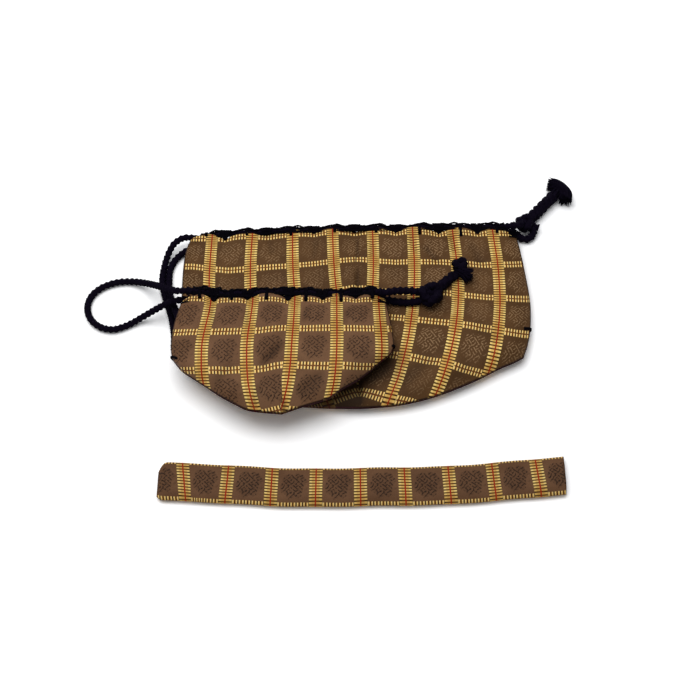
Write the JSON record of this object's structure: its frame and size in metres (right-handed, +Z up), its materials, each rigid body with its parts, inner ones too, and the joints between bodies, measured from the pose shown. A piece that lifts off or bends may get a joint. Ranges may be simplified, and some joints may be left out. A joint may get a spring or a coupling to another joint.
{
  "type": "matched tea utensil pouch set",
  "caption": "Flat brocade drawstring pouches for a tea caddy and a tea bowl, with a matching folded sleeve for a tea scoop.",
  "frame": {"origin": "on the table, under the middle of the set's bounding box without the free cords", "axes": "+Z up, +X along the sleeve to its open end, +Y from the sleeve towards the mouths of the pouches"},
  "size_m": [0.2637, 0.2, 0.0233],
  "materials": {
    "brocade": "silk brocade with gold ladder stripes on brown damask",
    "wadding": "matte cotton wadding",
    "lining": "plain silk",
    "cord": "black braided silk",
    "thread": "black silk thread"
  },
  "bodies": {
    "bowl_pouch": {"bowl_pouch_front_panel": "brocade", "bowl_pouch_back_panel": "brocade", "bowl_pouch_front_wadding": "wadding", "bowl_pouch_back_wadding": "wadding", "bowl_pouch_front_lining": "lining", "bowl_pouch_back_lining": "lining", "bowl_pouch_front_lacing": "thread", "bowl_pouch_back_lacing": "thread", "bowl_pouch_left_mouth_tack": "thread", "bowl_pouch_right_mouth_tack": "thread", "bowl_pouch_left_side_stitch": "thread", "bowl_pouch_right_side_stitch": "thread"},
    "bowl_drawcord": {"bowl_pouch_drawcord_front_run": "cord", "bowl_pouch_drawcord_back_run": "cord", "bowl_pouch_drawcord_loop": "cord", "bowl_pouch_drawcord_front_lead": "cord", "bowl_pouch_drawcord_back_lead": "cord", "bowl_pouch_drawcord_knot": "cord", "bowl_pouch_drawcord_tail_strand_1": "cord", "bowl_pouch_drawcord_tail_strand_2": "cord", "bowl_pouch_drawcord_tail_head": "cord"},
    "caddy_pouch": {"caddy_pouch_front_panel": "brocade", "caddy_pouch_back_panel": "brocade", "caddy_pouch_front_wadding": "wadding", "caddy_pouch_back_wadding": "wadding", "caddy_pouch_front_lining": "lining", "caddy_pouch_back_lining": "lining", "caddy_pouch_front_lacing": "thread", "caddy_pouch_back_lacing": "thread", "caddy_pouch_left_mouth_tack": "thread", "caddy_pouch_right_mouth_tack": "thread", "caddy_pouch_left_side_stitch": "thread", "caddy_pouch_right_side_stitch": "thread"},
    "caddy_drawcord": {"caddy_pouch_drawcord_front_run": "cord", "caddy_pouch_drawcord_back_run": "cord", "caddy_pouch_drawcord_loop": "cord", "caddy_pouch_drawcord_front_lead": "cord", "caddy_pouch_drawcord_back_lead": "cord", "caddy_pouch_drawcord_knot": "cord", "caddy_pouch_drawcord_tail_strand_1": "cord", "caddy_pouch_drawcord_tail_strand_2": "cord", "caddy_pouch_drawcord_tail_head": "cord"},
    "scoop_sleeve": {"scoop_sleeve_strip": "brocade", "scoop_sleeve_lining": "lining"}
  },
  "joints": [
    {"name": "bowl_cord_draw", "type": "slide", "parent": "bowl_pouch", "child": "bowl_drawcord", "axis": [0.9997, 0.0262, 0], "range_m": [0, 0.01], "deforming": ["bowl_pouch_drawcord_loop"]},
    {"name": "caddy_pouch_lift", "type": "slide", "parent": "bowl_pouch", "child": "caddy_pouch", "axis": [0, 0, 1], "range_m": [0, 0.06]},
    {"name": "caddy_cord_draw", "type": "slide", "parent": "caddy_pouch", "child": "caddy_drawcord", "axis": [1, 0, 0], "range_m": [0, 0.01], "deforming": ["caddy_pouch_drawcord_loop"]},
    {"name": "scoop_sleeve_lift", "type": "slide", "parent": "bowl_pouch", "child": "scoop_sleeve", "axis": [0, 0, 1], "range_m": [0, 0.06]}
  ]
}
